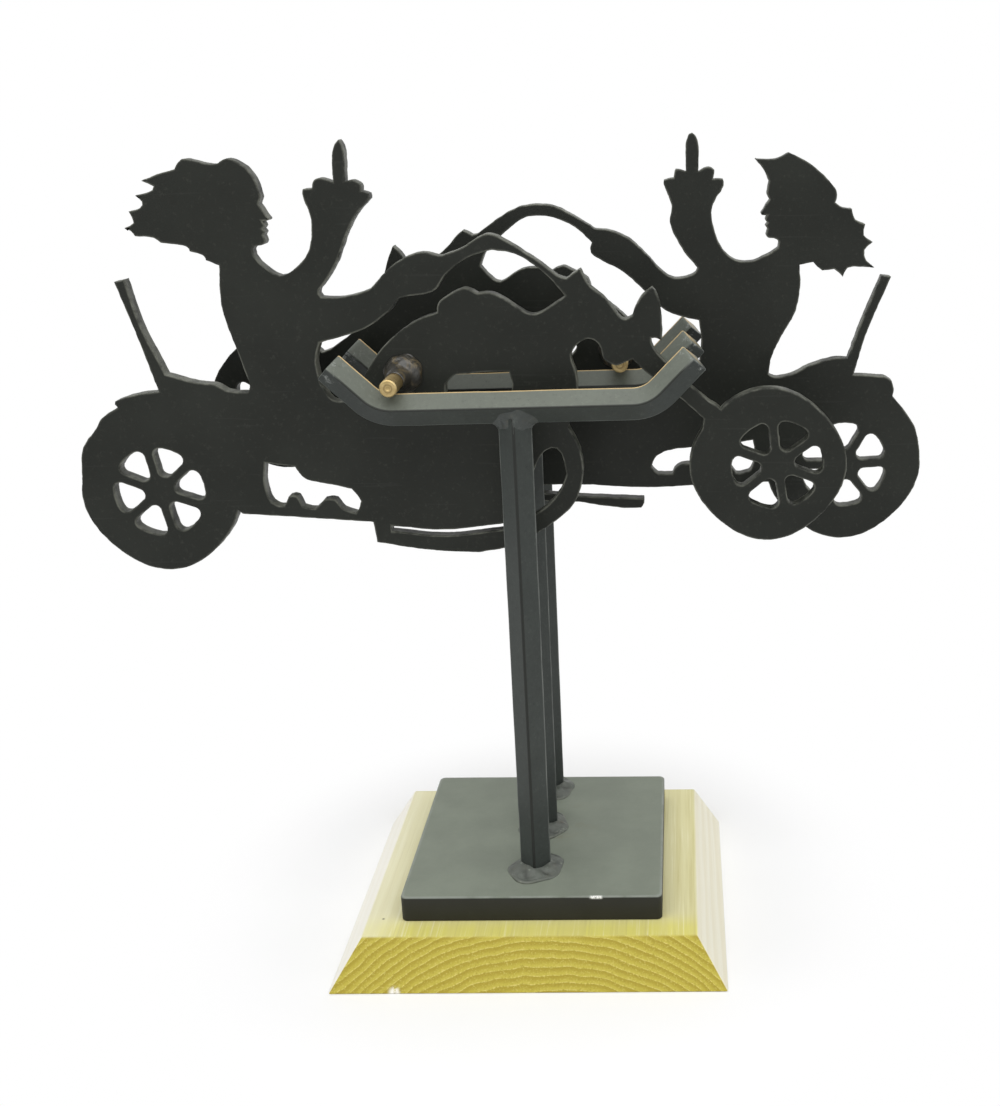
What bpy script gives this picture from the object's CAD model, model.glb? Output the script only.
"""Looks of a balancing table sculpture: torch-cut steel cars on brass pins, bent rails on posts,
a steel plate and a bevelled board. Metres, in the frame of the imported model."""
import math

import bpy
import numpy as np
from mathutils import Matrix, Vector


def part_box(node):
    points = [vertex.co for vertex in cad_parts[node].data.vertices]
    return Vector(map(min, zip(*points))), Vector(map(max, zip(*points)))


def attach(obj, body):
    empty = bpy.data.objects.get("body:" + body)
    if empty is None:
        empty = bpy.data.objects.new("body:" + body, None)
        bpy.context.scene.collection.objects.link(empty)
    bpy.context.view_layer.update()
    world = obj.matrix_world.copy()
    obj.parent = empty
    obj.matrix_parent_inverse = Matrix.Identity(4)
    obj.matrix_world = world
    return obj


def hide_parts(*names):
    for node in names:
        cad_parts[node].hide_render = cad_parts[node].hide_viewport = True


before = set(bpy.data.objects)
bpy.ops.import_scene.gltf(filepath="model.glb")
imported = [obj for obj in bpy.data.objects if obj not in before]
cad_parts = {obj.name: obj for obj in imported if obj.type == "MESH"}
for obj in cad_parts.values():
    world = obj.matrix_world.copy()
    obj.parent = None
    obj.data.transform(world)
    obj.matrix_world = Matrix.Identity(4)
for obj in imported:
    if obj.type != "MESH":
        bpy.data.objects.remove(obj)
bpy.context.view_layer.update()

MM = 0.001

# Sizes of the bars, as in the part's source
RAIL_Z = 245.5 * MM
RAIL_TILT = math.radians(1.1)
RAIL_W = 9.5 * MM
RAIL_ROLL = math.radians(8)
RAIL_HALF_FLAT = 48 * MM
RAIL_BEND_R = 17 * MM
RAIL_RISE = math.radians(45)
RAIL_END = 18.5 * MM
RAIL_SEAT = 3 * MM
RAIL_TIP = RAIL_W / math.sqrt(2)
POST_W = 10 * MM
POST_TIP = POST_W / math.sqrt(2)
POST_TOP = RAIL_Z - RAIL_TIP * math.cos(RAIL_ROLL) + RAIL_SEAT
PIN_R = 3.5 * MM
BORE_R = 3.55 * MM
BEAD_R = 8 * MM
BEAD_H = 6 * MM
BEAD_X = 2 * MM
BEAD_Z = 1.5 * MM

# Sizes of the board: half of its flat top, and the width of its bevel seen from above
BOARD_TOP_X = 73 * MM
BOARD_TOP_Y = 64 * MM
BOARD_BEVEL = 13 * MM

# Fineness of the meshes
RAIL_ROWS = 121
POST_ROWS = 41
WELD_ROWS = 25
WELD_COLUMNS = 120
PIN_SIDE_ROWS = 9
PIN_COLUMNS = 64
BEAD_ROWS = 26
BEAD_COLUMNS = 96
CUT_STEPS = 4


# Shapes

def lumps(points, size, seed):
    """Smooth unevenness between about -1 and 1: the mean of fourteen plane waves whose lengths lie
    round the given size and whose directions and phases come from the seed."""
    rng = np.random.default_rng(seed)
    points = np.asarray(points, float)
    count = 14
    waves = rng.normal(size=(count, points.shape[-1]))
    waves /= np.linalg.norm(waves, axis=1, keepdims=True)
    waves *= (2 * math.pi / size) * rng.uniform(0.6, 1.5, size=(count, 1))
    phases = rng.uniform(0, 2 * math.pi, count)
    return np.sin(points @ waves.T + phases).mean(axis=-1) * 2.2


def full_turn(columns):
    """Evenly spaced angles of the columns of a grid that runs once round."""
    return np.linspace(0, 2 * math.pi, columns + 1)[:-1]


def grid_faces(rows, columns, wrap_rows=False):
    """Quads between neighbouring rows and columns of a grid of points numbered row by row. The last column
    joins the first one, and with wrap_rows the last row joins the first one too."""
    row = np.arange(rows if wrap_rows else rows - 1)[:, None]
    column = np.arange(columns)[None, :]
    this_row = row * columns
    next_row = (row + 1) % rows * columns
    next_column = (column + 1) % columns
    quads = [this_row + column, this_row + next_column, next_row + next_column, next_row + column]
    return np.stack(quads, -1).reshape(-1, 4)


def end_caps(rows, columns):
    """One many-sided face over the first row of such a grid and one over its last row."""
    ring = np.arange(columns)
    return np.stack([ring[::-1], ring + columns * (rows - 1)])


def make_piece(name, points, face_sets, body, material, node, values=None, flat_sets=()):
    """A mesh object from whole arrays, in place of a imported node: points, sets of faces with one corner
    count each, values kept on the points for the materials, and the numbers of the sets shaded flat."""
    points = np.asarray(points, float).reshape(-1, 3)
    face_sets = [np.asarray(f, int).reshape(len(f), -1) for f in face_sets]
    corners = np.concatenate([f.ravel() for f in face_sets])
    counts = np.concatenate([np.full(len(f), f.shape[1]) for f in face_sets])
    starts = np.concatenate([[0], np.cumsum(counts)[:-1]])
    smooth = np.concatenate([np.full(len(f), i not in flat_sets) for i, f in enumerate(face_sets)])
    mesh = bpy.data.meshes.new(name)
    mesh.vertices.add(len(points))
    mesh.vertices.foreach_set("co", points.astype(np.float32).ravel())
    mesh.loops.add(len(corners))
    mesh.loops.foreach_set("vertex_index", corners.astype(np.int32))
    mesh.polygons.add(len(counts))
    mesh.polygons.foreach_set("loop_start", starts.astype(np.int32))
    mesh.polygons.foreach_set("use_smooth", smooth)
    mesh.update(calc_edges=True)
    mesh.validate()
    for key, value in (values or {}).items():
        attribute = mesh.attributes.new(key, "FLOAT", "POINT")
        attribute.data.foreach_set("value", np.asarray(value, np.float32).ravel())
    mesh.materials.append(material)
    piece = bpy.data.objects.new(name, mesh)
    bpy.context.scene.collection.objects.link(piece)
    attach(piece, body)
    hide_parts(node)
    return piece


def rounded_square(width, radius, turn, steps=4):
    """Outline of a square bar whose corners point along turn and its quarter turns: each corner is an arc
    of the given radius with a short straight step before and after it. Also gives how near each point
    is to the middle of its corner, from 0 to 1, the number of that corner and the way the point faces."""
    arc = np.concatenate([[-1], np.linspace(-1, 1, steps + 1), [1]])
    slide = np.concatenate([[-1], np.zeros(steps + 1), [1]]) * 0.4 * MM
    corner = np.repeat(np.arange(4), len(arc))
    along = np.tile(arc, 4)
    middle = turn + corner * math.pi / 2
    facing = middle + along * math.pi / 4
    ahead = np.stack([-np.sin(facing), np.cos(facing)], -1)
    reach = width / math.sqrt(2) - radius * math.sqrt(2)
    outline = reach * np.stack([np.cos(middle), np.sin(middle)], -1)
    outline += radius * np.stack([np.cos(facing), np.sin(facing)], -1) + np.tile(slide, 4)[:, None] * ahead
    return outline, np.tile(1 - np.abs(slide) / slide[-1], 4), corner, facing


def rounded_rectangle(half_x, half_y, radius, steps=6):
    """Outline of a rectangle, anticlockwise: each corner is an arc of the given radius with a short
    straight step before and after it. Also gives the side on which each point lies, along X and Y."""
    arc = np.concatenate([[0], np.linspace(0, 1, steps + 1), [1]])
    slide = np.tile(np.concatenate([[-1], np.zeros(steps + 1), [1]]), 4) * MM
    corner = np.repeat(np.arange(4), len(arc))
    angle = (corner + np.tile(arc, 4)) * math.pi / 2
    side = np.stack([np.array([1, -1, -1, 1])[corner], np.array([1, 1, -1, -1])[corner]], -1)
    outline = side * (np.array([half_x, half_y]) - radius)
    outline += radius * np.stack([np.cos(angle), np.sin(angle)], -1)
    outline += slide[:, None] * np.stack([-np.sin(angle), np.cos(angle)], -1)
    return outline, side


def stacked_block(name, middle, half, corner_r, profile, material, node, rough, seed, back_inset=0):
    """A profile of insets and heights carried round a rectangle, with flat caps below and above. Its
    third value is how much a step belongs to a worn edge. The sides are uneven by the given depth, and
    the back is cut square where the inset is less than back_inset."""
    inset, z, edge = np.array(profile).T
    outline, side = rounded_rectangle(half[0], half[1], corner_r)
    back = np.maximum(inset, back_inset)
    back[0] = back[1] + inset[0] - inset[1]
    inset_y = np.where(side[:, 1] > 0, back[:, None], inset[:, None])
    flat = outline[None] - np.stack(np.broadcast_arrays(inset[:, None], inset_y), -1) * side[None]
    rows, columns = flat.shape[:2]
    height = np.broadcast_to(z[:, None, None], (rows, columns, 1))
    uneven = lumps(np.concatenate([flat, 0.4 * height], axis=-1), 22 * MM, seed)[..., None]
    flat = flat + rough * uneven * flat / np.linalg.norm(flat, axis=-1, keepdims=True)
    points = np.concatenate([flat + np.asarray(middle), height], axis=-1)
    faces = [grid_faces(rows, columns), end_caps(rows, columns)]
    upper = np.clip((z - z[-1]) / (0.6 * MM) + 1, 0, 1)
    values = {"edge": np.repeat(edge, columns), "upper": np.repeat(upper, columns)}
    return make_piece(name, points, faces, "stand", material, node, values, flat_sets=(1,))


def round_edge(inset, z, radius, start, end, steps=5):
    """Insets and heights of an arc about a point, from one angle to another, all on a worn edge."""
    return [(inset - radius * math.cos(t), z + radius * math.sin(t), 1.0)
            for t in np.linspace(start, end, steps + 1)]


def under_rail(v):
    """Height of a rail's underside above its middle line, at the distance v behind it: the higher of
    the two faces that meet in its lowest edge."""
    low_v = -RAIL_TIP * math.sin(RAIL_ROLL)
    low_z = -RAIL_TIP * math.cos(RAIL_ROLL)
    rise_back = math.tan(math.pi / 4 - RAIL_ROLL)
    rise_front = math.tan(math.pi / 4 + RAIL_ROLL)
    return low_z + np.maximum((v - low_v) * rise_back, (low_v - v) * rise_front)


def tilted(x, z):
    """Turns a place on a rail's side view about the rail's middle, so that its +X end rises."""
    return (x * math.cos(RAIL_TILT) - z * math.sin(RAIL_TILT),
            x * math.sin(RAIL_TILT) + z * math.cos(RAIL_TILT))


def bent_rail(name, y, material, node):
    """A rounded square carried along a path that is straight in the middle, bends up through an arc and
    ends straight: with the length s from the middle, x = level + R sin a + d cos a and
    z = R (1 - cos a) + d sin a, where a is the angle turned so far and d the length past the bend.
    The whole path is then tilted."""
    half_length = RAIL_HALF_FLAT + RAIL_BEND_R * RAIL_RISE + RAIL_END
    inner = half_length - 0.35 * MM
    s = np.concatenate([[-half_length], np.linspace(-inner, inner, RAIL_ROWS), [half_length]])
    shrink = np.where(np.abs(s) > inner + 1e-6, 0.93, 1.0)
    length = np.abs(s)
    level = np.minimum(length, RAIL_HALF_FLAT)
    a = np.clip((length - RAIL_HALF_FLAT) / RAIL_BEND_R, 0, RAIL_RISE)
    d = np.maximum(length - RAIL_HALF_FLAT - RAIL_BEND_R * RAIL_RISE, 0)
    x, z = tilted(np.sign(s) * (level + RAIL_BEND_R * np.sin(a) + d * np.cos(a)),
                  RAIL_BEND_R * (1 - np.cos(a)) + d * np.sin(a))
    up_x, up_z = tilted(-np.sign(s) * np.sin(a), np.cos(a))
    up = np.stack([up_x, np.zeros_like(s), up_z], -1)
    outline, near, corner, facing = rounded_square(RAIL_W, 0.45 * MM, -RAIL_ROLL)
    path = np.stack([x, np.full_like(x, y), RAIL_Z + z], -1)
    points = path[:, None, :] + shrink[:, None, None] * (
        outline[None, :, :1] * np.array([0, 1, 0]) + outline[None, :, 1:] * up[:, None, :])
    rows, columns = len(s), len(outline)
    uneven = lumps(points, 16 * MM, 31 + int(y * 1000))
    points += 0.08 * MM * uneven[..., None] * (points - path[:, None, :]) / RAIL_TIP
    whole = np.ones((rows, columns))
    tip = np.clip((np.abs(s) - inner + 7 * MM) / (7 * MM), 0, 1)[:, None]
    crest = whole * np.where(corner == 1, near, 0)
    edge = np.maximum(near * whole * (0.35 + 0.65 * tip), np.where(shrink < 1, 1.0, 0.0)[:, None])
    values = {"crest": crest, "edge": edge, "tip": tip * whole, "upper": whole * (np.sin(facing) > 0.1),
              "dark": whole * np.where(corner == 2, near, 0) * (1 - tip)}
    faces = [grid_faces(rows, columns)[:, ::-1], end_caps(rows, columns)[:, ::-1]]
    return make_piece(name, points, faces, "stand", material, node, values, flat_sets=(1,))


def square_post(name, y, foot, material, node):
    """A rounded square carried straight up, its upper end cut to the two lower faces of its rail."""
    outline, near, corner, _ = rounded_square(POST_W, 0.7 * MM, 0)
    top = np.minimum(RAIL_Z + under_rail(outline[:, 1]), POST_TOP) + 0.1 * MM
    t = np.linspace(0, 1, POST_ROWS)[:, None]
    z = foot + t * (top - foot)
    points = np.stack(np.broadcast_arrays(outline[:, 0], outline[:, 1] + y, z), -1).copy()
    uneven = lumps(points, 26 * MM, 57 + int(y * 1000))
    points[..., 0] += 0.08 * MM * uneven * outline[:, 0] / POST_TIP
    points[..., 1] += 0.08 * MM * uneven * outline[:, 1] / POST_TIP
    rows, columns = points.shape[:2]
    whole = np.ones((rows, columns))
    values = {"edge": whole * np.where(corner % 2 == 0, near, 0),
              "dark": whole * np.where(corner == 3, near, 0)}
    faces = [grid_faces(rows, columns), end_caps(rows, columns)]
    return make_piece(name, points, faces, "stand", material, node, values, flat_sets=(1,))


def weld_grid(seed):
    """What both welds of a post start from: angles round the post, steps from 0 to 1, four phases from the
    seed, and how far the post's sides lie from its middle at each angle, less a little for overlap."""
    turn = full_turn(WELD_COLUMNS)[None, :]
    t = np.linspace(0, 1, WELD_ROWS)[:, None]
    p = np.random.default_rng(seed).uniform(0, 2 * math.pi, 4)
    side = POST_TIP / (np.abs(np.cos(turn)) + np.abs(np.sin(turn))) - 0.2 * MM
    return turn, t, p, side


def make_weld(name, points, material, node, values):
    """A weld on the stand from its grid of points."""
    faces = [grid_faces(WELD_ROWS, WELD_COLUMNS), end_caps(WELD_ROWS, WELD_COLUMNS)]
    return make_piece(name, points, faces, "stand", material, node, values, flat_sets=(1,))


def foot_weld(name, y, foot, material, node, seed):
    """A smooth skirt round a post's foot: from an uneven rim on the plate the radius shrinks to the post's
    sides while the height rises as t^1.15, with a raised lip at the rim and a few broad runs."""
    turn, t, p, side = weld_grid(seed)
    rim = (12.6 + 0.9 * np.sin(2 * turn + p[0]) + 0.6 * np.sin(5 * turn + p[1])) * MM
    radius = rim + (side - rim) * t
    height = (3.9 + 0.5 * np.sin(3 * turn + p[2]) + 0.4 * np.sin(turn + p[3])) * MM
    lip = np.sin(math.pi * np.clip(t / 0.2, 0, 1)) * (0.35 + 0.3 * np.sin(2 * turn + p[3])) * MM
    runs = np.abs(np.sin(2.5 * turn + 1.6 * t + p[1] + 0.8 * np.sin(turn + p[2])))
    z = foot - 0.05 * MM + height * t ** 1.15 + lip + 0.7 * MM * runs * np.sin(math.pi * t)
    points = np.stack(np.broadcast_arrays(radius * np.cos(turn), radius * np.sin(turn) + y, z), -1).copy()
    points[..., 2] += 0.5 * MM * lumps(points, 6 * MM, seed + 1) * np.sin(math.pi * t)
    whole = np.ones((WELD_ROWS, WELD_COLUMNS))
    values = {"hollow": (1 - runs) * np.sin(math.pi * t), "rim": np.clip(1 - t / 0.12, 0, 1) * whole,
              "upper": whole}
    return make_weld(name, points, material, node, values)


def head_weld(name, y, material, node, seed):
    """A fan between a post and its rail: from a ring on the post's sides each run climbs first upwards and
    then outwards, to an uneven oval on the two lower faces of the rail that is longest along the rail."""
    turn, t, p, side = weld_grid(seed)
    reach_x = (9.9 + 0.7 * np.sin(turn + p[0]) + 0.4 * np.sin(5 * turn + p[1])) * MM
    reach_v = (5.3 + 0.5 * np.sin(2 * turn + p[2]) + 0.35 * np.sin(7 * turn + p[3])) * MM
    out = t ** 1.7
    x = (side + (reach_x - side) * out) * np.cos(turn)
    v = (side + (reach_v - side) * out) * np.sin(turn)
    low = RAIL_Z + under_rail(0.0) - (3.6 + 0.5 * np.sin(3 * turn + p[1])) * MM
    high = RAIL_Z + under_rail(v[-1:]) + x[-1:] * math.tan(RAIL_TILT) + 0.1 * MM
    z = low + (high - low) * (1 - (1 - t) ** 1.5)
    points = np.stack(np.broadcast_arrays(x, v + y, z), -1).copy()
    runs = np.abs(np.sin(2.5 * turn + p[3]))
    swell = (0.3 * lumps(points, 6 * MM, seed) + 0.35 * runs) * np.sin(math.pi * t) * MM
    points[..., 0] += swell * np.cos(turn)
    points[..., 1] += swell * np.sin(turn)
    whole = np.ones((WELD_ROWS, WELD_COLUMNS))
    values = {"hollow": 0.3 * whole, "rim": 0 * whole, "upper": 0 * whole}
    return make_weld(name, points, material, node, values)


def turned_pin(name, low, high, body, material, node):
    """A profile turned about the pin's own axis: a dimple, a flat end, a chamfer, the long side, and
    the same at the other end. The profile of an end gives radius and depth, from the middle out."""
    x = (low.x + high.x) / 2
    z = (low.z + high.z) / 2
    end = np.array([(0.05, 0.45), (0.5, 0.4), (0.9, 0.05), (1.0, 0), (2.4, 0),
                    (2.55, 0.06), (2.7, 0), (3.05, 0), (3.5, 0.45)]) * MM
    r = np.concatenate([end[:, 0], np.full(PIN_SIDE_ROWS, PIN_R), end[::-1, 0]])
    long_side = np.linspace(low.y + 0.8 * MM, high.y - 0.8 * MM, PIN_SIDE_ROWS)
    y = np.concatenate([low.y + end[:, 1], long_side, high.y - end[::-1, 1]])
    turn = full_turn(PIN_COLUMNS)
    points = np.stack(np.broadcast_arrays(x + r[:, None] * np.cos(turn), y[:, None],
                                          z + r[:, None] * np.sin(turn)), -1)
    faces = [grid_faces(len(r), PIN_COLUMNS)[:, ::-1], end_caps(len(r), PIN_COLUMNS)[:, ::-1]]
    piece = make_piece(name, points, faces, body, material, node,
                       {"rim": np.repeat(r / PIN_R, PIN_COLUMNS)})
    piece.data.set_sharp_from_angle(angle=math.radians(35))
    return piece


def pin_beads(name, pin_x, pin_z, car_y, half_t, nose, body, material, node, seed):
    """A lumpy dome on each face of a car: rays run from the pin's bore to the bead's rim, and the height
    is that of a spherical cap over the bead's own middle, with a collar that climbs the pin as
    exp(-(d / 1.7 mm)^2) at the distance d from it, and a swirl of ripples."""
    turn = full_turn(BEAD_COLUMNS)[None, :]
    t = np.linspace(0, 1, BEAD_ROWS)[:, None]
    sunk = np.full((1, BEAD_COLUMNS), -0.05 * MM)
    dome_r = (BEAD_R ** 2 + BEAD_H ** 2) / (2 * BEAD_H)
    sheets = []
    for side in (-1, 1):
        inner_x = BORE_R * 1.01 * np.cos(turn)
        inner_z = BORE_R * 1.01 * np.sin(turn)
        rim = BEAD_R * (1 + 0.04 * np.sin(3 * turn + seed) + 0.03 * np.sin(7 * turn + side))
        outer_x = nose * BEAD_X + rim * np.cos(turn)
        outer_z = BEAD_Z + rim * np.sin(turn)
        x = inner_x + (outer_x - inner_x) * t
        z = inner_z + (outer_z - inner_z) * t
        off = np.hypot(x - nose * BEAD_X, z - BEAD_Z)
        cap = np.sqrt(np.maximum(dome_r ** 2 - off ** 2, 0)) - (dome_r - BEAD_H)
        swirl = np.sin(9 * t + 3 * turn + seed) * 0.2 * MM * np.sin(math.pi * t)
        collar = 5 * MM * np.exp(-((np.hypot(x, z) - BORE_R) / (1.7 * MM)) ** 2)
        spots = np.stack(np.broadcast_arrays(x, z), -1)
        uneven = 0.25 * MM * lumps(spots, 6 * MM, seed + side) * np.sin(math.pi * t)
        height = np.maximum(cap, 0.02 * MM) + collar + swirl + uneven
        height = np.concatenate([sunk, np.maximum(height, 0.05 * MM)[:-1], sunk])
        x = np.concatenate([x[:1], x[:-1], x[-1:]])
        z = np.concatenate([z[:1], z[:-1], z[-1:]])
        sheets.append(np.stack([pin_x + x, car_y + side * (half_t + height), pin_z + z], -1))
    faces = grid_faces(BEAD_ROWS + 1, BEAD_COLUMNS, wrap_rows=True)
    points = np.concatenate([sheet.reshape(-1, 3) for sheet in sheets])
    both = np.concatenate([faces, faces[:, ::-1] + (BEAD_ROWS + 1) * BEAD_COLUMNS])
    return make_piece(name, points, [both], body, material, node)


def torch_cut_plate(name, node, pin, body, material, seed):
    """The car's own outline with a rounded, slightly ragged cut carried along it. Each straight piece of
    the outline becomes a smooth curve that leaves its ends in the direction of both neighbours, or in its
    own direction at a sharp corner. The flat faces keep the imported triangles, drawn in from the cut."""
    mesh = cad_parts[node].data
    co = np.empty(len(mesh.vertices) * 3, np.float32)
    mesh.vertices.foreach_get("co", co)
    corners = np.empty(len(mesh.loops), np.int32)
    mesh.loops.foreach_get("vertex_index", corners)
    co, welded = np.unique(np.round(co.reshape(-1, 3).astype(float), 6), axis=0, return_inverse=True)
    triangles = welded.ravel()[corners].reshape(-1, 3)
    front, back = co[:, 1].min(), co[:, 1].max()
    triangles = triangles[(np.abs(co[triangles][:, :, 1] - front) < 1e-5).all(axis=1)]
    flat = co[:, [0, 2]]
    # Directed edges without a partner run round the outline and the openings
    start = triangles.ravel()
    end = np.roll(triangles, -1, axis=1).ravel()
    alone = ~np.isin(start * len(co) + end, end * len(co) + start)
    start, end = start[alone], end[alone]
    edge_at = np.full(len(co), -1)
    edge_at[start] = np.arange(len(start))
    after = edge_at[end]
    before = np.empty_like(after)
    before[after] = np.arange(len(after))
    p = flat[start]
    ahead = p[after] - p
    behind = ahead[before]
    unit_ahead = ahead / np.linalg.norm(ahead, axis=1, keepdims=True)
    unit_behind = unit_ahead[before]
    sharp = (unit_ahead * unit_behind).sum(axis=1) < math.cos(math.radians(32))
    blend = (ahead + behind) / np.linalg.norm(ahead + behind, axis=1, keepdims=True)
    leave = np.where(sharp[:, None], unit_ahead, blend)
    arrive = np.where(sharp[after][:, None], unit_ahead, blend[after])
    size = np.linalg.norm(ahead, axis=1)[:, None, None]
    t = (np.arange(CUT_STEPS) / CUT_STEPS)[None, :, None]
    curve = ((2 * t ** 3 - 3 * t ** 2 + 1) * p[:, None] + (t ** 3 - 2 * t ** 2 + t) * size * leave[:, None]
             + (3 * t ** 2 - 2 * t ** 3) * p[after][:, None] + (t ** 3 - t ** 2) * size * arrive[:, None])
    later = np.concatenate([curve[:, 1:], curve[after][:, :1]], axis=1)
    earlier = np.concatenate([curve[before][:, -1:], curve[:, :-1]], axis=1)
    along = later - earlier
    along /= np.linalg.norm(along, axis=-1, keepdims=True)
    # The solid lies on one side of every directed edge: the sign of the triangles' area tells which
    first, second, third = flat[triangles].transpose(1, 0, 2)
    area = np.cross(second - first, third - first)
    left = 1.0 if area.sum() > 0 else -1.0
    inward = left * np.stack([-along[..., 1], along[..., 0]], -1)
    free = np.clip((np.linalg.norm(curve - np.asarray(pin), axis=-1) - 5 * MM) / (2 * MM), 0, 1)
    ragged = 0.12 * lumps(curve, 5 * MM, seed) + 0.05 * lumps(curve, 1.6 * MM, seed + 1)
    curve = curve + inward * (ragged * free * MM)[..., None]
    # Flat faces, drawn in by the mitre of both edges
    half = np.sqrt(np.clip((1 + (unit_ahead * unit_behind).sum(axis=1)) / 2, 0.2, 1))
    normal = left * np.stack([-blend[:, 1], blend[:, 0]], -1)
    inner = p + normal * (0.75 * MM / half)[:, None]
    thick = back - front
    ring_steps = np.array([(0.42, 0), (0.13, 0.13), (0, 0.42), (0.03, 1.6)])
    insets = np.concatenate([ring_steps[:, 0], [0.0], ring_steps[::-1, 0]]) * MM
    depths = np.concatenate([ring_steps[:, 1] * MM, [thick / 2], thick - ring_steps[::-1, 1] * MM])
    wear = np.array([0.45, 1.0, 0.9, 0.75, 0.7, 0.75, 0.9, 1.0, 0.45])
    rows, count = len(insets), len(start) * CUT_STEPS
    ring = curve.reshape(1, -1, 2) + inward.reshape(1, -1, 2) * insets[:, None, None]
    cut = np.stack([ring[..., 0], np.broadcast_to(front + depths[:, None], (rows, count)), ring[..., 1]], -1)
    faces_front = np.stack([inner[:, 0], np.full(len(start), front), inner[:, 1]], -1)
    faces_back = faces_front + [0, thick, 0]
    points = np.concatenate([cut.reshape(-1, 3), faces_front, faces_back])
    value = np.concatenate([np.repeat(wear, count), np.zeros(2 * len(start))])
    # Strips round the cut, the flat band inside it, and the faces themselves
    by_edge = np.arange(count).reshape(-1, CUT_STEPS)
    outer = np.concatenate([by_edge, by_edge[after][:, :1]], axis=1)
    column = by_edge.ravel()
    following = outer[:, 1:].ravel()
    r = np.arange(rows - 1)[:, None] * count
    strips = np.stack([r + column, r + following, r + count + following, r + count + column], -1)
    strips = strips.reshape(-1, 4)
    if left > 0:
        strips = strips[:, ::-1]
    inner_at = rows * count + np.arange(len(start))
    inner_next = rows * count + after
    band = np.concatenate([inner_next[:, None], inner_at[:, None], outer], axis=1)
    band_back = np.concatenate([inner_at[:, None] + len(start), inner_next[:, None] + len(start),
                                (outer + (rows - 1) * count)[:, ::-1]], axis=1)
    sheet = rows * count + edge_at[triangles]
    faces = [strips, band, band_back, sheet, sheet[:, ::-1] + len(start)]
    return make_piece(name, points, faces, body, material, node, {"edge": value},
                      flat_sets=(1, 2, 3, 4))


# Finishes

class Value:
    """A socket that takes part in Python sums: each operator adds a Math node."""

    def __init__(self, nodes, socket):
        self.nodes = nodes
        self.socket = socket

    def math(self, operation, *others):
        """A Math node on this value and the others."""
        return self.nodes.node("ShaderNodeMath", {"operation": operation},
                               dict(enumerate((self,) + others)))

    def __add__(self, other):
        return self.math("ADD", other)

    def __sub__(self, other):
        return self.math("SUBTRACT", other)

    def __rsub__(self, other):
        return self.nodes.node("ShaderNodeMath", {"operation": "SUBTRACT"}, {0: other, 1: self})

    def __mul__(self, other):
        return self.math("MULTIPLY", other)

    def __truediv__(self, other):
        return self.math("DIVIDE", other)

    def __pow__(self, other):
        return self.math("POWER", other)

    __radd__ = __add__
    __rmul__ = __mul__

    def between(self, low, high):
        """0 at low, 1 at high, smooth in between and level outside."""
        return self.nodes.node("ShaderNodeMapRange", {"interpolation_type": "SMOOTHSTEP"},
                               {"Value": self, "From Min": low, "From Max": high})


class Nodes:
    """The nodes of one material or of the world."""

    def __init__(self, owner):
        owner.use_nodes = True
        self.tree = owner.node_tree
        self.tree.nodes.clear()

    def node(self, kind, settings=None, inputs=None, output=0):
        """Adds a node of the kind, sets its settings, then fills its sockets with numbers or links."""
        made = self.tree.nodes.new(kind)
        for key, value in (settings or {}).items():
            setattr(made, key, value)
        for key, value in (inputs or {}).items():
            if isinstance(value, Value):
                self.tree.links.new(value.socket, made.inputs[key])
            elif hasattr(value, "__len__") and made.inputs[key].type == "RGBA":
                made.inputs[key].default_value = tuple(value) + (1,) * (4 - len(value))
            else:
                made.inputs[key].default_value = value
        return Value(self, made.outputs[output]) if made.outputs else None

    def seen(self):
        """1 for rays from the camera, off a shiny surface or through glass, and 0 for all others."""
        straight, mirrored, through = [self.node("ShaderNodeLightPath", output=kind) for kind in
                                       ("Is Camera Ray", "Is Glossy Ray", "Is Transmission Ray")]
        return (straight + mirrored + through).math("MINIMUM", 1.0)


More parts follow.
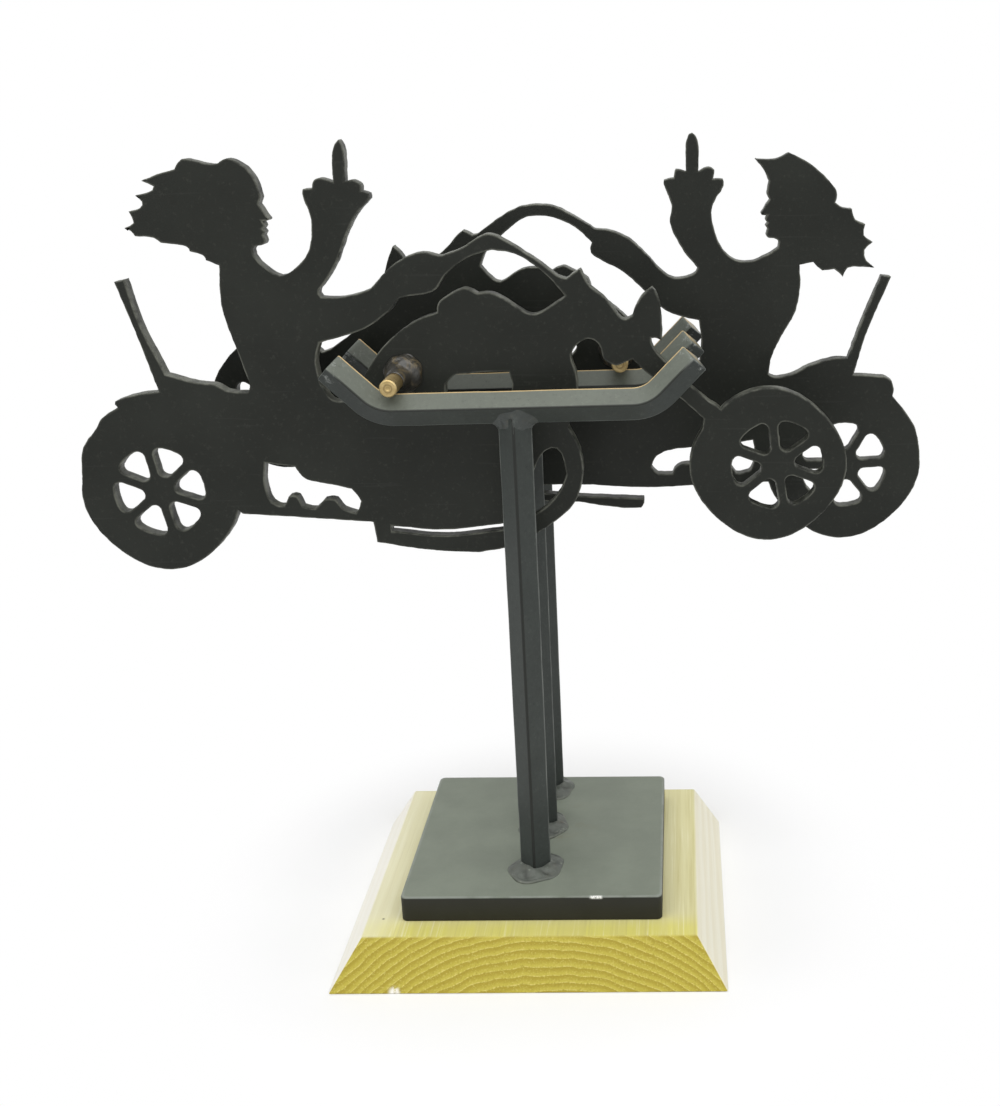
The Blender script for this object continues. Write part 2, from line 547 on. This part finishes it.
class Paint(Nodes):
    """One material, with patterns by the place on the piece and a surface at the end."""

    def __init__(self, name):
        self.material = bpy.data.materials.new(name)
        super().__init__(self.material)
        self.place = self.node("ShaderNodeTexCoord", output="Object")

    def kept(self, name):
        """A value kept on the points of the mesh."""
        return self.node("ShaderNodeAttribute", {"attribute_name": name}, output="Fac")

    def stretch(self, scale, turn=(0, 0, 0)):
        """The place on the piece, stretched and turned."""
        return self.node("ShaderNodeMapping", None, {"Vector": self.place, "Scale": scale, "Rotation": turn})

    def noise(self, scale, detail=3.0, rough=0.55, at=None, warp=0.0):
        """Cloudy noise round a half, by the place on the piece or by the stretched place given."""
        return self.node("ShaderNodeTexNoise", None, {"Vector": at or self.place, "Scale": scale,
                         "Detail": detail, "Roughness": rough, "Distortion": warp})

    def mix(self, share, first, second):
        """From the first colour to the second by the share."""
        return self.node("ShaderNodeMix", {"data_type": "RGBA"}, {0: share, 6: first, 7: second}, output=2)

    def axes(self):
        """The place along X, Y and Z."""
        return [self.node("ShaderNodeSeparateXYZ", None, {0: self.place}, output=i) for i in range(3)]

    def near(self, point, low, high):
        """1 close to a point and 0 away from it, level inside low and gone at high."""
        gap = self.node("ShaderNodeVectorMath", {"operation": "DISTANCE"}, {0: self.place, 1: point},
                        output="Value")
        return 1 - gap.between(low, high)

    def bump(self, height, depth, under=None):
        """A bump of the given depth in metres for heights from 0 to 1, over another one."""
        inputs = {"Height": height, "Distance": depth, "Strength": 1.0}
        if under is not None:
            inputs["Normal"] = under
        return self.node("ShaderNodeBump", None, inputs)

    def cover(self, surface):
        """Ends the material with the given surface."""
        self.node("ShaderNodeOutputMaterial", None, {"Surface": surface})
        return self.material

    def finish(self, **sockets):
        """Ends the material with a Principled surface, its sockets named with _ for the blanks."""
        named = {key.replace("_", " ").title().replace("Ior", "IOR"): value for key, value in sockets.items()}
        return self.cover(self.node("ShaderNodeBsdfPrincipled", None, named))


def times(factor, colour):
    """A colour with each of its parts times the factor."""
    return tuple(factor * part for part in colour)


def car_finish():
    """Satin black paint on plate: cloudy, dusty and faintly scratched, rubbed grey along the cut."""
    p = Paint("car_paint_satin")
    cloud = p.noise(24, 4)
    dust = p.noise(560, 3, 0.7).between(0.55, 0.75)
    scratch = p.noise(700, 1, 0.4, p.stretch((0.04, 1, 1), (0, 0.6, 0))).between(0.7, 0.76)
    edge = p.kept("edge")
    worn = edge * p.noise(120, 4, 0.65).between(0.3, 0.65)
    colour = p.mix(cloud.between(0.3, 0.75), (0.0135, 0.015, 0.012), (0.02, 0.022, 0.018))
    colour = p.mix(dust * 0.2, colour, (0.075, 0.076, 0.064))
    colour = p.mix(scratch * 0.05, colour, (0.1, 0.1, 0.095))
    colour = p.mix(worn * 0.75, colour, (0.2, 0.206, 0.17))
    grain = p.noise(1500, 2, 0.6)
    drag = p.noise(500, 2, 0.5, p.stretch((1, 0.06, 1)))
    normal = p.bump(grain, 0.00003, p.bump(drag * edge, 0.00025, p.bump(p.noise(70, 3), 0.00015)))
    rough = 0.42 + 0.14 * cloud + 0.1 * dust - 0.06 * worn
    return p.finish(base_color=colour, roughness=rough, specular_ior_level=0.2, normal=normal)


def bar_colour(p, top, below, speckle=0.5):
    """Blue-grey paint, paler with dust and wear on the faces that look up, speckled by the given share."""
    cloud = p.noise(45, 4)
    upper = p.kept("upper")
    deep = p.mix(cloud.between(0.3, 0.72), times(0.88, below), times(1.12, below))
    pale = p.mix(cloud.between(0.3, 0.72), times(0.92, top), times(1.08, top))
    fine = p.noise(520, 4, 0.75)
    light = p.mix(upper, times(1.9, below), times(1.5, top))
    shade = p.mix(upper, times(0.55, below), times(0.6, top))
    colour = p.mix(fine.between(0.54, 0.74) * speckle, p.mix(upper, deep, pale), light)
    return p.mix((1 - fine.between(0.28, 0.46)) * speckle, colour, shade), cloud


def bar_finish():
    """Bar paint, rubbed light on the edges and dark along one edge, golden along the rails' running edge,
    scuffed at the rails' ends."""
    p = Paint("bar_paint_satin")
    colour, cloud = bar_colour(p, (0.136, 0.15, 0.124), (0.033, 0.039, 0.035))
    edge = p.kept("edge") * p.noise(40, 3, 0.6).between(0.25, 0.75)
    crest = p.kept("crest") * p.noise(60, 4, 0.7).between(0.15, 0.4)
    scuff = p.kept("tip") * p.noise(240, 4, 0.75).between(0.52, 0.64)
    colour = p.mix(edge * 0.6, colour, (0.23, 0.245, 0.225))
    colour = p.mix(p.kept("dark") * 0.9, colour, (0.012, 0.0135, 0.011))
    colour = p.mix(scuff * 0.6, colour, (0.4, 0.42, 0.4))
    colour = p.mix(crest, colour, (0.68, 0.5, 0.24))
    normal = p.bump(p.noise(1300, 2, 0.6), 0.00004, p.bump(p.noise(120, 3), 0.00012))
    rough = 0.44 + 0.14 * cloud - 0.1 * edge
    return p.finish(base_color=colour, roughness=rough, specular_ior_level=0.3, normal=normal)


def plate_finish():
    """Bar paint on the base plate, with faint streaks along X, rust stains round the middle weld and a
    pale scuff on the front edge."""
    p = Paint("base_plate_paint")
    colour, cloud = bar_colour(p, (0.19, 0.214, 0.17), (0.0175, 0.018, 0.0145), 0.12)
    upper = p.kept("upper")
    streak = p.noise(300, 3, 0.6, p.stretch((0.06, 1, 1))).between(0.35, 0.7)
    colour = p.mix(streak * upper * 0.2, colour, (0.2, 0.22, 0.18))
    near = p.near((0.004, 0.01, 0.0315), 0.008, 0.03)
    stain = p.noise(90, 5, 0.7, p.stretch((0.5, 1, 1))).between(0.5, 0.72)
    colour = p.mix(near * stain * upper * 0.45, colour, (0.17, 0.14, 0.075))
    edge = p.kept("edge") * p.noise(70, 4, 0.7).between(0.3, 0.6)
    colour = p.mix(edge * upper * 0.6, colour, (0.3, 0.32, 0.29))
    x, y, z = p.axes()
    scuff = (1 - (x - 0.0285).math("ABSOLUTE").between(0.0018, 0.0034)) * p.kept("edge")
    scuff = scuff * (1 - (y + 0.0522).math("ABSOLUTE").between(0.0004, 0.0012)) * z.between(0.0295, 0.0305)
    colour = p.mix(scuff * p.noise(900, 3, 0.8).between(0.36, 0.5), colour, (0.85, 0.85, 0.8))
    normal = p.bump(p.noise(1300, 2, 0.6), 0.00003, p.bump(p.noise(50, 3), 0.0002))
    return p.finish(base_color=colour, roughness=0.46 + 0.12 * cloud, specular_ior_level=0.3, normal=normal)


def weld_finish():
    """Painted weld: bar paint over lumps, with rust and slag in the hollows and a rubbed rim."""
    p = Paint("painted_weld")
    colour, cloud = bar_colour(p, (0.088, 0.098, 0.083), (0.042, 0.049, 0.045))
    hollow = p.kept("hollow")
    colour = p.mix(hollow * hollow * 0.75, colour, (0.022, 0.024, 0.02))
    rust = p.noise(200, 4, 0.7).between(0.5, 0.7) * (0.2 + 0.6 * hollow)
    colour = p.mix(rust * 0.4, colour, (0.16, 0.14, 0.09))
    light = p.noise(260, 4, 0.75).between(0.6, 0.7) * p.kept("upper")
    colour = p.mix(light * 0.35, colour, (0.34, 0.36, 0.3))
    rim = p.kept("rim") * p.noise(150, 3, 0.7).between(0.35, 0.6)
    colour = p.mix(rim * 0.25, colour, (0.33, 0.34, 0.26))
    normal = p.bump(p.noise(360, 3, 0.6), 0.0002, p.bump(p.noise(140, 2), 0.0004))
    return p.finish(base_color=colour, roughness=0.38 + 0.18 * cloud, specular_ior_level=0.4, normal=normal)


def bead_finish():
    """Glossy painted bead with a golden brown heat swirl."""
    p = Paint("pin_bead_gloss")
    swirl = p.noise(150, 3, 0.6, p.stretch((1, 1, 0.45), (0, 0.7, 0)), 1.6)
    colour = p.mix(swirl.between(0.5, 0.68) * 0.75, (0.03, 0.028, 0.022), (0.17, 0.13, 0.065))
    light = p.noise(380, 3, 0.7).between(0.66, 0.74)
    colour = p.mix(light * 0.5, colour, (0.3, 0.29, 0.25))
    normal = p.bump(p.noise(500, 3, 0.6), 0.0003)
    return p.finish(base_color=colour, roughness=0.24 + 0.2 * swirl, specular_ior_level=0.5, normal=normal,
                    coat_weight=0.25, coat_roughness=0.2)


def brass_finish():
    """Turned brass, dulled and spotted, with fine rings on the ends."""
    p = Paint("turned_brass")
    tarnish = p.noise(260, 4, 0.65)
    rim = p.kept("rim")
    rings = p.node("ShaderNodeTexWave", {"wave_type": "BANDS", "bands_direction": "Y"},
                   {"Vector": p.place, "Scale": 900.0, "Distortion": 1.5, "Detail": 1.0})
    mark = (rim - 0.45).math("ABSOLUTE").between(0.0, 0.16)
    colour = p.mix(tarnish.between(0.35, 0.7), (0.42, 0.31, 0.14), (0.56, 0.44, 0.22))
    colour = p.mix((1 - mark) * 0.55, colour, (0.16, 0.11, 0.05))
    spots = p.noise(700, 2, 0.7).between(0.62, 0.72)
    colour = p.mix(spots * 0.5, colour, (0.2, 0.14, 0.07))
    normal = p.bump(rings, 0.00003, p.bump(p.noise(800, 2), 0.00004))
    return p.finish(base_color=colour, metallic=1.0, roughness=0.36 + 0.2 * tarnish, normal=normal)


def wood_finish():
    """Varnished open-grained wood whose growth rings are ovals about a line along Y well under the board:
    the distance from that line gives the ring, so the ends show low arches and the top straight grain.
    Each ring is a broad soft band with a thin pale row of pores. The ends soak up more varnish and are a
    deeper yellow, the long sides are pale, and the left one is nearly white."""
    p = Paint("varnished_wood")
    x, y, z = p.axes()
    wander = p.noise(16, 3, 0.5, p.stretch((1, 0.15, 1))) - 0.5
    ripple = p.noise(110, 2, 0.5, p.stretch((1, 0.1, 0.6))) - 0.5
    from_x = (x - 0.01) * 0.78
    from_z = z + 0.068
    radius = (from_x * from_x + from_z * from_z) ** 0.5
    ring = (radius + 0.011 * wander + 0.0016 * ripple) / 0.0026
    phase = ring.math("FRACT")
    band = phase.between(0.0, 0.75) * (1 - phase.between(0.8, 0.98))
    pore_row = phase.between(0.84, 0.9) * (1 - phase.between(0.96, 1.0))
    speckle = p.noise(1250, 2, 0.6)
    off_x = x.math("ABSOLUTE")
    front = ((BOARD_TOP_X - BOARD_TOP_Y - y) - off_x).between(-0.4 * MM, 0.4 * MM)
    front = front * (0 - y).between(BOARD_TOP_Y - 0.8 * MM, BOARD_TOP_Y + 0.4 * MM)
    end = front + y.between(BOARD_TOP_Y - 0.7 * MM, BOARD_TOP_Y - 0.3 * MM)
    side = off_x.between(BOARD_TOP_X - 0.8 * MM, BOARD_TOP_X + 0.6 * MM) * (1 - end)
    streak = p.noise(900, 3, 0.6, p.stretch((1, 0.02, 1)))
    top = p.mix(y.between(-0.06, -0.045), (0.69, 0.64, 0.165), (0.72, 0.68, 0.38))
    top = p.mix(band * 0.3, top, (0.6, 0.54, 0.23))
    top = p.mix(streak.between(0.5, 0.72) * 0.35, top, (0.5, 0.44, 0.17))
    top = p.mix((1 - streak.between(0.3, 0.46)) * 0.4, top, (0.86, 0.83, 0.6))
    top = p.mix((1 - x.between(-0.073, -0.05)) * 0.5, top, (0.86, 0.84, 0.66))
    ends = p.mix(band, (0.48, 0.405, 0.05), (0.36, 0.28, 0.022))
    ends = p.mix(pore_row * speckle.between(0.36, 0.6) * 0.6, ends, (0.68, 0.61, 0.2))
    ends = p.mix(speckle.between(0.55, 0.7) * 0.4, ends, (0.66, 0.58, 0.17))
    ends = p.mix((1 - speckle.between(0.3, 0.42)) * 0.45, ends, (0.27, 0.2, 0.02))
    pale = p.mix(band * 0.5, (0.8, 0.77, 0.63), (0.73, 0.68, 0.5))
    pale = p.mix(streak.between(0.52, 0.72) * 0.4, pale, (0.68, 0.63, 0.46))
    pale = p.mix((1 - x.between(-0.07, 0.07)) * 0.65, pale, (0.93, 0.91, 0.84))
    colour = p.mix(side, p.mix(end, top, ends), pale)
    chip = p.near((-0.0575, -0.0768, 0.0004), 0.0008, 0.0034) * p.noise(500, 2).between(0.35, 0.5)
    colour = p.mix(chip, colour, (0.88, 0.86, 0.8))
    speck = p.near((-0.066, -0.0505, 0.0195), 0.0002, 0.0009)
    colour = p.mix(speck * 0.8, colour, (0.1, 0.09, 0.05))
    grain = streak * (1 - end) + speckle * end
    normal = p.bump(grain, 0.0001, p.bump(p.noise(40, 3), 0.00015))
    return p.finish(base_color=colour, roughness=0.46 + 0.1 * band, specular_ior_level=0.35, normal=normal,
                    coat_weight=0.1, coat_roughness=0.3)


def screw_finish():
    """Zinc plated steel with fine turning lines and a cloudy shine."""
    p = Paint("zinc_screw")
    cloud = p.noise(300, 3)
    colour = p.mix(cloud, (0.5, 0.51, 0.53), (0.68, 0.69, 0.7))
    return p.finish(base_color=colour, metallic=1.0, roughness=0.3 + 0.2 * cloud,
                    normal=p.bump(p.noise(2500, 2), 0.00003))


# Pieces

car_paint = car_finish()
bar_paint = bar_finish()
weld_paint = weld_finish()
bead_gloss = bead_finish()
brass = brass_finish()

wood_low, wood_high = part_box("wood_base")
lean = math.atan2(BOARD_BEVEL, wood_high.z)
foot_r, top_r = 0.15 * MM, 1.3 * MM
foot_in = foot_r * (math.tan(lean) * (1 + math.sin(lean)) + math.cos(lean))
top_in = BOARD_BEVEL + top_r * (math.cos(lean) - math.tan(lean) * (1 - math.sin(lean)))
wood_profile = ([(foot_in + 0.5 * MM, 0.0, 0.0)] + round_edge(foot_in, foot_r, foot_r, -math.pi / 2, lean)
                + [(BOARD_BEVEL * f, wood_high.z * f, 0.0) for f in (0.07, 0.5, 0.92)]
                + round_edge(top_in, wood_high.z - top_r, top_r, lean, math.pi / 2))
stacked_block("bevelled_board", (0, 0), (wood_high.x, -wood_low.y), 1.0 * MM, wood_profile,
              wood_finish(), "wood_base", 0.1 * MM, 11, BOARD_BEVEL)

plate_low, plate_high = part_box("base_plate")
plate_r = 0.6 * MM
plate_profile = ([(1.4 * MM, plate_low.z, 0.0)]
                 + round_edge(plate_r, plate_low.z + plate_r, plate_r, -math.pi / 2, 0)
                 + [(0.0, plate_low.z + 1.3 * MM, 0.0), (0.0, plate_high.z - 1.3 * MM, 0.0)]
                 + round_edge(plate_r, plate_high.z - plate_r, plate_r, 0, math.pi / 2)
                 + [(1.5 * MM, plate_high.z, 0.0)])
plate_middle = ((plate_low.x + plate_high.x) / 2, (plate_low.y + plate_high.y) / 2)
plate_half = ((plate_high.x - plate_low.x) / 2, (plate_high.y - plate_low.y) / 2)
stacked_block("steel_plate", plate_middle, plate_half, 2.5 * MM, plate_profile, plate_finish(),
              "base_plate", 0.1 * MM, 12)

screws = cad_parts["base_screws"]
screws.data.materials.clear()
screws.data.materials.append(screw_finish())

for place, seed in (("front", 1), ("middle", 2), ("rear", 3)):
    low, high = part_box(place + "_post")
    y = (low.y + high.y) / 2
    square_post(place + "_post_bar", y, plate_high.z, bar_paint, place + "_post")
    bent_rail(place + "_rail_bar", y, bar_paint, place + "_rail")
    foot_weld(place + "_foot_weld_fillet", y, plate_high.z, weld_paint, place + "_foot_weld", 40 + seed)
    head_weld(place + "_head_weld_collar", y, weld_paint, place + "_head_weld", 60 + seed)

for place, nose, seed in (("front", 1, 5), ("rear", -1, 6)):
    low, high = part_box(place + "_pin")
    pin_x, pin_z = (low.x + high.x) / 2, (low.z + high.z) / 2
    car_low, car_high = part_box(place + "_car")
    turned_pin(place + "_brass_pin", low, high, place + "_axle", brass, place + "_pin")
    torch_cut_plate(place + "_car_plate", place + "_car", (pin_x, pin_z), place + "_silhouette", car_paint,
                    seed)
    pin_beads(place + "_pin_bead", pin_x, pin_z, (car_low.y + car_high.y) / 2, (car_high.y - car_low.y) / 2,
              nose, place + "_silhouette", bead_gloss, place + "_pin_weld", seed)

# Camera, at the photograph's viewing angle

camera_data = bpy.data.cameras.new("camera")
camera_data.sensor_fit = "VERTICAL"
camera_data.sensor_height = 36
camera_data.lens = 43.95
camera_data.shift_x = -0.1635
camera_data.clip_start = 0.01
camera = bpy.data.objects.new("camera", camera_data)
bpy.context.scene.collection.objects.link(camera)
camera_place = Matrix.Translation((0.06671, -0.56181, 0.3688))
camera_pitch = Matrix.Rotation(math.radians(70.75), 4, "X")
camera_roll = Matrix.Rotation(-0.0065, 4, "Z")
camera.matrix_world = camera_place @ camera_pitch @ camera_roll
bpy.context.scene.camera = camera

# Floor, light and background

FLOOR_HALF = 6
FLOOR_Z = -0.2 * MM

floor_mesh = bpy.data.meshes.new("floor")
floor_corners = [(-FLOOR_HALF, -FLOOR_HALF, FLOOR_Z), (FLOOR_HALF, -FLOOR_HALF, FLOOR_Z),
                 (FLOOR_HALF, FLOOR_HALF, FLOOR_Z), (-FLOOR_HALF, FLOOR_HALF, FLOOR_Z)]
floor_mesh.from_pydata(floor_corners, [], [(0, 1, 2, 3)])
floor = bpy.data.objects.new("floor", floor_mesh)
bpy.context.scene.collection.objects.link(floor)
paper = Paint("white_paper")
away = paper.node("ShaderNodeVectorMath", {"operation": "LENGTH"}, {0: paper.place}, output="Value")
matt = paper.node("ShaderNodeBsdfDiffuse", None, {"Color": (0.9, 0.9, 0.9)})
white = paper.node("ShaderNodeEmission", None, {"Color": (1, 1, 1), "Strength": 1.0})
blend = {0: away.between(0.105, 0.18) * paper.seen(), 1: matt, 2: white}
floor_mesh.materials.append(paper.cover(paper.node("ShaderNodeMixShader", None, blend)))

world = bpy.data.worlds.new("studio")
bpy.context.scene.world = world
sky = Nodes(world)
soft = sky.node("ShaderNodeBackground", None, {"Color": (0.8, 0.8, 0.8), "Strength": 0.42})
plain = sky.node("ShaderNodeBackground", None, {"Color": (1, 1, 1), "Strength": 1.0})
choice = sky.node("ShaderNodeMixShader", None, {0: sky.seen(), 1: soft, 2: plain})
sky.node("ShaderNodeOutputWorld", None, {"Surface": choice})


def soft_light(name, strength, spread, lean_x, lean_y):
    """A wide far light that leans from straight overhead towards the viewer and to the side."""
    data = bpy.data.lights.new(name, "SUN")
    data.energy = strength
    data.angle = math.radians(spread)
    light = bpy.data.objects.new(name, data)
    light.rotation_euler = (math.radians(lean_x), math.radians(lean_y), 0)
    bpy.context.scene.collection.objects.link(light)


soft_light("overhead_light", 2.3, 80, 14, 0)
soft_light("left_light", 0.38, 60, 20, -60)
soft_light("right_light", 0.5, 60, 20, 60)

bpy.context.scene.view_settings.view_transform = "Standard"
